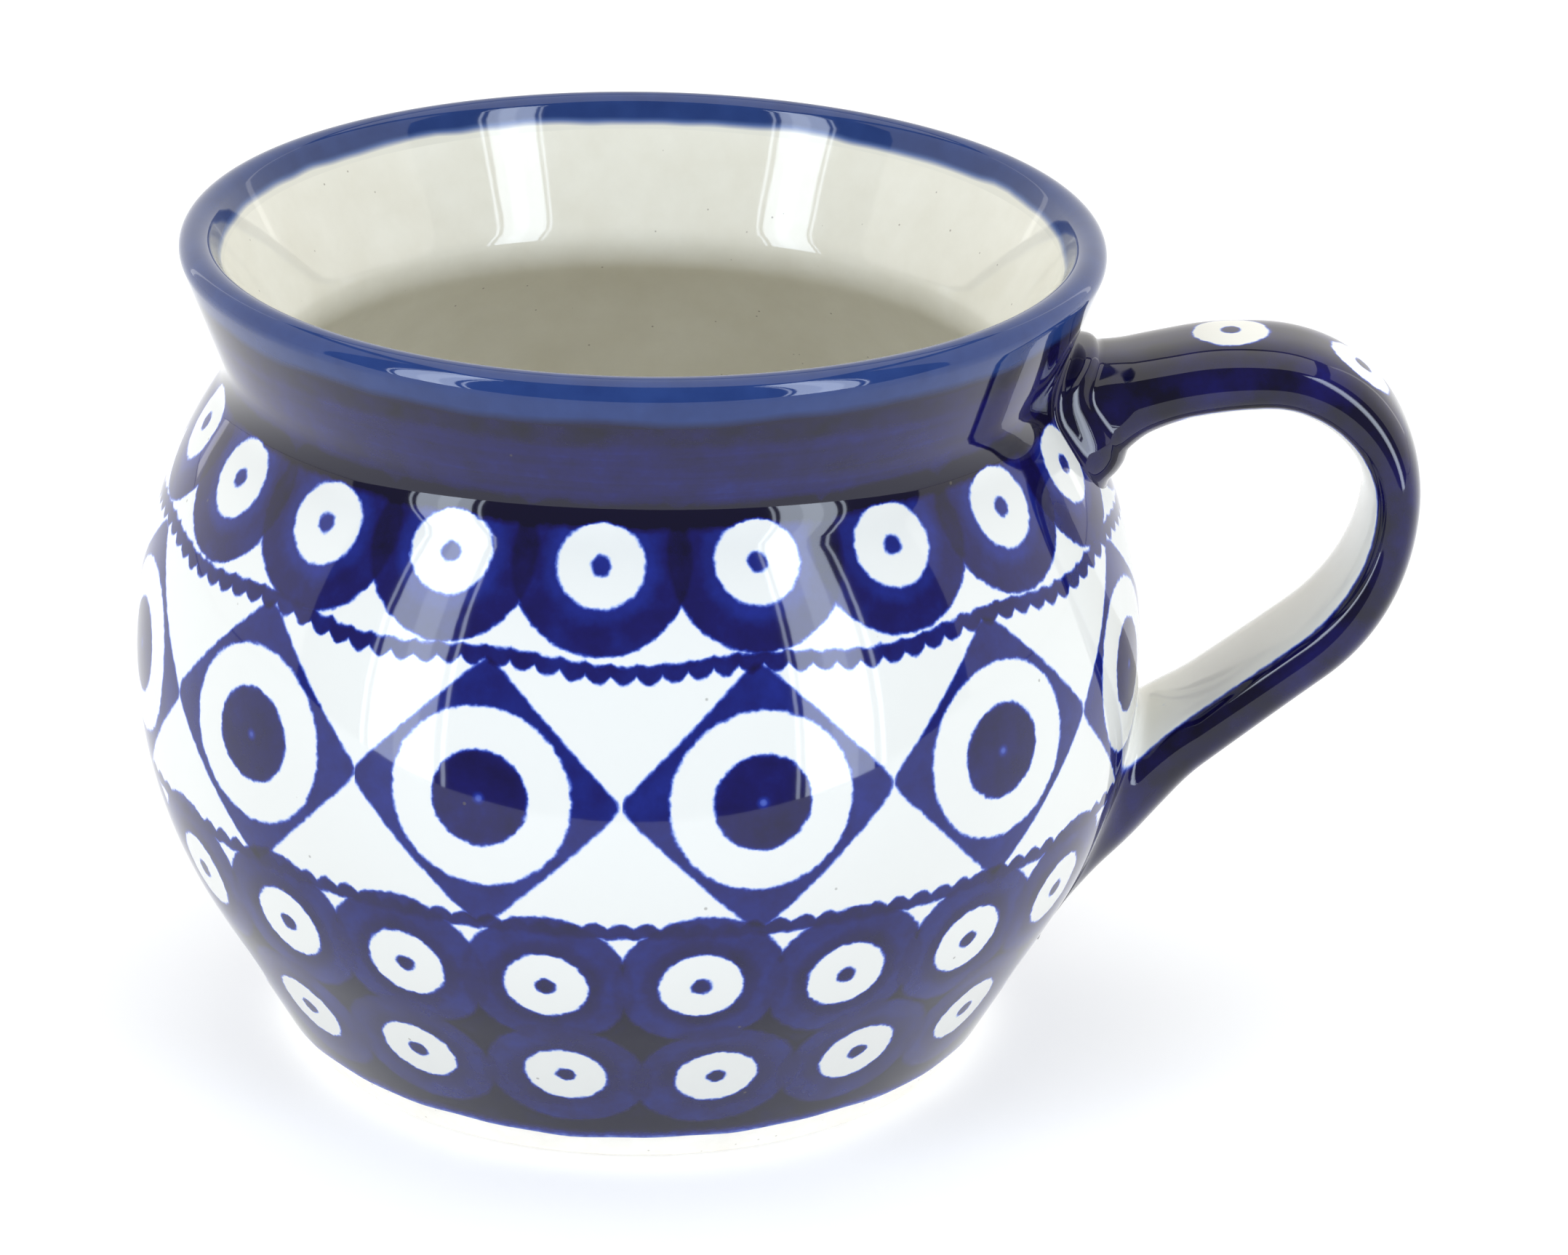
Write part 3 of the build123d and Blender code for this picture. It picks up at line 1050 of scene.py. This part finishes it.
    def foot_band(self) -> Socket:
        """The cobalt brushed above the foot, fading out at the glaze line.

        Returns:
            How much cobalt it leaves.
        """
        height = self.put("Math ADD", self.rise, self.fray)
        band = self.put("MapRange", height, self.low + 2.6 * MM, self.low + 4.0 * MM, 1.5, 0.0, **SMOOTH)
        bare = self.put("MapRange", height, 3.75 * MM, 5.6 * MM, 0.1, 1.0)
        return self.put("Math MULTIPLY", band, bare)

    def waves(self) -> Socket:
        """The two scalloped lines above and below the diamonds.

        Returns:
            How much cobalt they leave.
        """
        put, amount = self.put, None
        _, apart = self.count_off(self.diamond_row, 0.5)
        sag = put("Math COSINE", put("Math MULTIPLY", apart, 2 * pi))
        ripple = put("Math SINE", put("Math MULTIPLY", self.turns, pi * self.ripples_round))
        ripple = put("Math ABSOLUTE", ripple)
        for line in self.lines:
            path = put("Math MULTIPLY_ADD", sag, line.sag * MM, self.middle + line.base * MM)
            path = put("Math MULTIPLY_ADD", ripple, line.wave * MM, path)
            off = put("Math ABSOLUTE", put("Math SUBTRACT", self.rise, path))
            off = put("Math MULTIPLY_ADD", ripple, -self.scallop, off)
            stroke = self.edge(put("Math ADD", off, self.fray), line.half * MM, self.bleed)
            amount = put("Math MAXIMUM", amount, stroke) if amount else stroke
        return amount

    def eyes(self, amount: Socket, blank: Socket, cover: Socket,
             row: StampRow) -> tuple[Socket, Socket, Socket]:
        """Stamp one row of eyes over what is there.

        Args:
            amount: How much cobalt there is.
            blank: Where eyes stay white.
            cover: Where a stamp has printed.
            row: The row.

        Returns:
            The first three with the row added.
        """
        put = self.put
        for shift in (0.0, 1.0):
            _, distance, frayed = self.from_stamp(row, shift)
            printed = put("Math MULTIPLY_ADD", self.fray, 0.9, distance)
            cover = put("Math MAXIMUM", cover, self.edge(printed, row.big - 0.4 * MM, 0.5 * MM))
            weight = put("MapRange", frayed, row.eye + 0.6 * MM, row.eye + 2.2 * MM,
                         row.inner, row.outer, **SMOOTH)
            disc = put("Math MULTIPLY", self.edge(frayed, row.big, self.bleed), weight)
            amount = self.lay_over(amount, disc, row.build_up)
            blank = put("Math MAXIMUM", blank, self.ring(frayed, row.eye, self.dot))
        return amount, blank, cover

    def diamonds(self, amount: Socket) -> Socket:
        """Stamp the row of ringed diamonds round the belly.

        Args:
            amount: How much cobalt is there already.

        Returns:
            How much cobalt is there now.
        """
        put = self.put
        offset, distance, frayed = self.from_stamp(self.diamond_row, 0.5)
        squares = put("VectorMath MULTIPLY", offset, offset)
        slanted = self.fray
        for axis in "XY":
            side = put("Math ADD", put("SeparateXYZ", squares, out=axis), self.blunt**2)
            slanted = put("Math ADD", slanted, put("Math SQRT", side))
        body = self.edge(slanted, self.diamond_half, 1.3 * self.bleed)
        body = self.cut_out(body, self.ring(frayed, self.diamond_white, self.diamond_core))
        weight = put("MapRange", frayed, 4.0 * MM, 6.0 * MM, 1.12, 0.88)
        pip = self.edge(distance, 0.5 * MM, 0.4 * MM)
        body = put("Math MULTIPLY_ADD", pip, -0.6, put("Math MULTIPLY", body, weight))
        return self.lay_over(amount, body, 0.4)


class StrapStamping(Stamping):
    """Cobalt sponged over the strap's outer side and edges, the inner face left cream.

    Eyes follow the spine; the blue bleeds where it ends along the inner face.
    """

    first_eye, eye_pitch, eye = -3.9 * MM, 14.3 * MM, 4.1 * MM
    middle_eye, reach = 2.0, 2.5               # eyes 0 to 4 are stamped
    smudge = (54.4 * MM, -4.0 * MM, 40.4 * MM)

    def __init__(self) -> None:
        """Start the strap's material."""
        super().__init__("stamped_cobalt_strap_glaze", "Strap", 0.3 * MM, 0.5)

    def material(self) -> bpy.types.Material:
        """Lay out the strap's material.

        Returns:
            The finished material.
        """
        put, along = self.put, self.across
        pitch = self.eye_pitch
        places = put("Math MULTIPLY_ADD", along, 1 / pitch, -self.first_eye / pitch)
        number = put("Math FLOOR", put("Math ADD", places, 0.5))
        apart = put("Math MULTIPLY", put("Math SUBTRACT", places, number), pitch)
        sideways = put("SeparateXYZ", self.place, out="Y")
        _, _, frayed = self.from_middle(apart, sideways, number, 0.0)
        white = self.ring(frayed, self.eye, self.dot)
        white = put("Math MULTIPLY", white, put("Math COMPARE", number, self.middle_eye, self.reach))
        from_spine = put("Math ABSOLUTE", put("Math SUBTRACT", self.up, 0.25))
        turned = put("Math PINGPONG", from_spine, 0.5)
        white = put("Math MULTIPLY", white, put("MapRange", turned, 0.2, 0.25, 1.0, 0.0))
        slack = put("Math MULTIPLY_ADD", self.fray, 16.0, turned)
        inner = put("MapRange", slack, 0.338, 0.362, 0.0, 1.0, **SMOOTH)
        past_root = put("MapRange", along, -13.0 * MM, -10.0 * MM, 0.0, 1.0)
        inner = put("Math MULTIPLY", inner, past_root)
        from_joint = put("VectorMath DISTANCE", self.place, self.smudge, out="Value")
        from_joint = put("Math MULTIPLY_ADD", self.fray, 3.0, from_joint)
        blot = put("MapRange", from_joint, 1.0 * MM, 2.8 * MM, 0.28, 0.0)
        bare = put("Math MAXIMUM", white, put("Math SUBTRACT", inner, blot))
        cloud = put("TexNoise", Vector=self.place, Scale=1 / (6 * MM), Detail=4.0, Roughness=0.6)
        amount = self.cut_out(put("MapRange", cloud, 0.32, 0.75, 0.63, 0.40), bare)
        shade = put("ValToRGB", amount, stops=((0.0, "#dcdad0"), *COBALT_ON_WHITE[1:]))
        return ClearGlaze().close(self.bench, shade)


@dataclass(frozen=True)
class RimDip:
    """A brushed blue rim glaze that melts into its neighbours.

    It reads a lighter, milkier blue than the stamped cobalt, with soft running edges.
    """

    outline: Outline
    melt: float = 1.1 * MM

    def material(self) -> bpy.types.Material:
        """Lay out the rim coat's material.

        Returns:
            The finished material.
        """
        bench = Bench("brushed_blue_rim_glaze")
        put, (_, rise) = bench.put, bench.read("Banding")
        noise = put("TexNoise", Vector=bench.place, Scale=1 / (9 * MM), Detail=1.0)
        wander = put("MapRange", noise, 0.3, 0.7, -0.25 * MM, 0.25 * MM)
        height = put("Math ADD", rise, wander)
        low, high = self.outline.outer_rim() + 0.2 * MM, self.outline.inner_rim() - 0.5 * MM
        blue = bench.clouded(3 * MM, 4.0, 0.5, "#1a2f60", "#21376a")
        outside = put("MapRange", height, low, low + self.melt, 0.0, 1.0)
        inside = put("MapRange", height, high - self.melt, high, 0.0, 1.0)
        shade = put("MixRGB", outside, linear("#0e0b2c"), blue)
        paling = put("ValToRGB", inside, stops=((0.0, "#1c3366"), (0.45, "#687fae"), (1.0, "#d3d0c2")))
        return ClearGlaze().close(bench, put("MixRGB", inside, shade, paling))


@dataclass(frozen=True)
class CreamLiner:
    """Clear glaze poured over bare cream stoneware.

    Warm and glossy, faintly clouded, with tiny dark iron specks under the surface.
    """

    name: str = "clear_glaze_on_cream_clay"

    def material(self) -> bpy.types.Material:
        """Lay out the liner's material.

        Returns:
            The finished material.
        """
        bench = Bench(self.name)
        shade = bench.clouded(9 * MM, 5.0, 0.6, "#d5d1c1", "#dddacc")
        shade = bench.specked(shade, 2.6 * MM, 0.03, 0.55, "#5b4c39")
        return ClearGlaze(wave_height=0.05 * MM).close(bench, shade)


@dataclass(frozen=True)
class BareClay:
    """Fired stoneware with no glaze, wiped with a sponge.

    Matt and dry, cream with fine grog grain and dark specks.
    """

    grain: float = 0.35 * MM
    grain_height: float = 0.05 * MM

    def material(self) -> bpy.types.Material:
        """Lay out the bare clay's material.

        Returns:
            The finished material.
        """
        bench = Bench("bare_fired_stoneware")
        shade = bench.clouded(4 * MM, 6.0, 0.65, "#efe9dc", "#f7f3e9")
        shade = bench.specked(shade, 1.6 * MM, 0.05, 0.45, "#8a7a5f")
        grit = bench.put("TexNoise", Vector=bench.place, Scale=1 / self.grain, Detail=3.0)
        tall = bench.put("Math MULTIPLY", grit, self.grain_height)
        bump = bench.put("Bump", Strength=0.6, Distance=1.0, Height=tall)
        return bench.finish(Base_Color=shade, Roughness=0.82, IOR=1.5, Normal=bump)


# ---- the mug ----------------------------------------------------------------------------------


def settle(piece: Piece, node: str, slot: Slot, material: bpy.types.Material) -> None:
    """Give a new piece its place in the frame and its finish.

    Args:
        piece: The modelled coat.
        node: The CAD coat it stands for.
        slot: The record's slot; not used.
        material: The finish.
    """
    piece.data.materials.clear()
    piece.data.materials.append(material)
    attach(piece, "root")
    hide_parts(node)
    log.info("%s: %d faces, stands for %s", piece.name, len(piece.data.polygons), node)


@dataclass
class GlazeCoats:
    """The coats over the turned body."""

    outline: Outline
    line_z: float

    def build(self) -> None:
        """Turn every coat and dress it."""
        line = self.outline.along_at_height(self.line_z)
        outer_rim, inner_rim = self.outline.outer_rim(), self.outline.inner_rim()
        stretch = self.outline.stretch
        end = self.outline.stops[-1].along
        outer = TurnedCoat("outer_coat", stretch(line, outer_rim), edge_wander=self.glaze_line)
        settle(outer.build(), "outer_glaze", Slot.COBALT, CobaltStamping(self.outline).material())
        rim = TurnedCoat("rim_coat", stretch(outer_rim, inner_rim), skip=1)
        settle(rim.build(), "rim_glaze", Slot.RIM, RimDip(self.outline).material())
        inner = TurnedCoat("inner_coat", stretch(inner_rim, end))
        settle(inner.build(), "inner_glaze", Slot.CREAM, CreamLiner().material())
        self.base()

    @staticmethod
    def glaze_line(angle: float) -> float:
        """How far the sponge-wiped edge strays at an angle, in metres."""
        return (0.16 * sin(5 * angle + 0.7) + 0.13 * sin(13 * angle + 2.1)
                + 0.08 * sin(29 * angle + 4.0) + 0.3) * MM

    def base(self) -> None:
        """The thin glaze inside the foot ring."""
        low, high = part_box("base_glaze")
        radius = high.x
        clear_selection()
        bpy.ops.mesh.primitive_cylinder_add(vertices=96, radius=radius, depth=high.z - low.z,
                                            location=(0, 0, (low.z + high.z) / 2))
        piece = bpy.context.object
        piece.name = "base_coat"
        bpy.ops.object.transform_apply(location=True, rotation=False, scale=False)
        bevel = piece.modifiers.new("Edge", "BEVEL")
        bevel.width, bevel.segments, bevel.limit_method = 0.12 * MM, 3, "ANGLE"
        bpy.ops.object.modifier_apply(modifier=bevel.name)
        bpy.ops.object.shade_smooth_by_angle(angle=radians(42))
        settle(piece, "base_glaze", Slot.CREAM, CreamLiner("clear_glaze_on_base").material())


def dress_clay() -> None:
    """Give the frame's own clay pieces their bare stoneware."""
    clay = BareClay().material()
    for name in ("body", "handle", "handle_upper_luting", "handle_lower_luting"):
        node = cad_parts[name]
        node.data.materials.clear()
        node.data.materials.append(clay)
        log.info("%s: dressed as bare stoneware", name)


# ---- the studio -------------------------------------------------------------------------------


@dataclass
class Studio:
    """Pale floor, soft lights and the camera."""

    target: Point = (15.28 * MM, 0.0, 44.40 * MM)
    distance: float = 556.9 * MM
    elevation: float = radians(22.843)
    roll: float = radians(1.309)
    lens: float = 120.72
    sensor: float = 36.0

    def camera(self) -> None:
        """Set the camera up in front of the mug, a little above it."""
        data = bpy.data.cameras.new("camera")
        data.lens, data.sensor_width = self.lens, self.sensor
        data.clip_start, data.clip_end = 0.05, 20.0
        camera = bpy.data.objects.new("camera", data)
        bpy.context.scene.collection.objects.link(camera)
        away = Vector((0, -cos(self.elevation), sin(self.elevation)))
        level, upright = Vector((1, 0, 0)), Vector((0, sin(self.elevation), cos(self.elevation)))
        right = level * cos(self.roll) + upright * sin(self.roll)
        up = upright * cos(self.roll) - level * sin(self.roll)
        turn = Matrix((right, up, away)).transposed().to_4x4()
        camera.matrix_world = Matrix.Translation(Vector(self.target) + away * self.distance) @ turn
        bpy.context.scene.camera = camera

    def floor(self) -> None:
        """Lay the pale floor, a white sheet lit a little from below."""
        clear_selection()
        bpy.ops.mesh.primitive_plane_add(size=1.0, location=(0, 0, 0))
        floor_plane = bpy.context.object
        floor_plane.name = "floor"
        bpy.ops.transform.resize(value=(1.6, 1.15, 1))
        bpy.ops.transform.translate(value=(0, 0.375, 0))
        bench = Bench("white_paper")
        floor_plane.data.materials.append(bench.finish(
            Base_Color=linear("#c8c8c8"), Roughness=0.9, Specular_IOR_Level=0.1,
            Emission_Color=linear("#ffffff"), Emission_Strength=0.44))

    def lamp(self, name: str, place: Point, aim: Point,
             size: Pair, radiance: float, tint: Point) -> None:
        """Add a soft rectangular light.

        Args:
            name: The light's name.
            place: Its middle.
            aim: Where it points.
            size: Width and height.
            radiance: Brightness of its face.
            tint: Its colour.
        """
        data = bpy.data.lights.new(name, "AREA")
        data.shape, data.size, data.size_y = "RECTANGLE", size[0], size[1]
        data.energy, data.color = radiance * pi * size[0] * size[1], tint
        light = bpy.data.objects.new(name, data)
        bpy.context.scene.collection.objects.link(light)
        light.location = place
        light.visible_camera = False
        facing = (Vector(aim) - Vector(place)).normalized()
        light.rotation_euler = facing.to_track_quat("-Z", "Y").to_euler()

    def lights(self) -> None:
        """Two tall windows in front, white sheets behind and at the sides, light overhead."""
        reach, sill, tall = 0.75, -0.22, 1.19
        daylight, lamplight = (0.78, 0.87, 1.0), (1.0, 0.985, 0.93)
        panes = ((-9.6, 0.8, 7.0), (-5.0, 6.0, 8.4), (0.8, 5.6, 10.2), (5.5, 3.8, 8.0),
                 (9.5, 0.9, 7.5))
        for name, side in (("window_left", -49), ("window_right", 45)):
            for index, (turn, wide, radiance) in enumerate(panes):
                angle = radians(side + turn)
                place = (reach * sin(angle), -reach * cos(angle), sill + tall / 2)
                pane = (2 * reach * sin(radians(wide / 2)), tall)
                self.lamp(f"{name}_{index}", place, (0, 0, place[2]), pane, radiance, daylight)
        self.lamp("overhead", (0, 0.15, 1.2), (0, 0.1, 0), (1.3, 1.3), 1.55, lamplight)
        self.lamp("sheet_behind", (0, 0.94, 0.6), (0, 0, 0.6), (1.9, 1.2), 1.0, lamplight)
        for name, side in (("sheet_left", -1), ("sheet_right", 1)):
            self.lamp(name, (0.84 * side, 0.36, 0.6), (0, 0.36, 0.6), (1.1, 1.2), 1.0, lamplight)
        world = bpy.data.worlds.new("surround")
        bpy.context.scene.world = world
        world.use_nodes = True
        bench = Bench(world)
        seen = bench.put("LightPath", out="Is Camera Ray")
        shade = bench.put("MixRGB", seen, (0.22, 0.22, 0.23, 1), (0.93, 0.93, 0.93, 1))
        bench.put("OutputWorld", bench.put("Background", shade))

    def set_up(self) -> None:
        """Everything round the mug."""
        self.camera()
        self.floor()
        self.lights()
        bpy.context.scene.view_settings.view_transform = "Standard"


def main() -> None:
    """Build the studio and the mug."""
    logging.basicConfig(level=logging.INFO, format="%(name)s: %(message)s")
    Studio().set_up()
    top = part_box("rim_glaze")[1].z
    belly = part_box("outer_glaze")
    outline = Outline(height=top, belly_r=(belly[1].y - belly[0].y) / 2)
    dress_clay()
    GlazeCoats(outline, line_z=belly[0].z).build()
    handle = StrapHandle(outline)
    settle(handle.build(), "handle_glaze", Slot.HANDLE, StrapStamping().material())


if __name__ == "__main__":
    main()
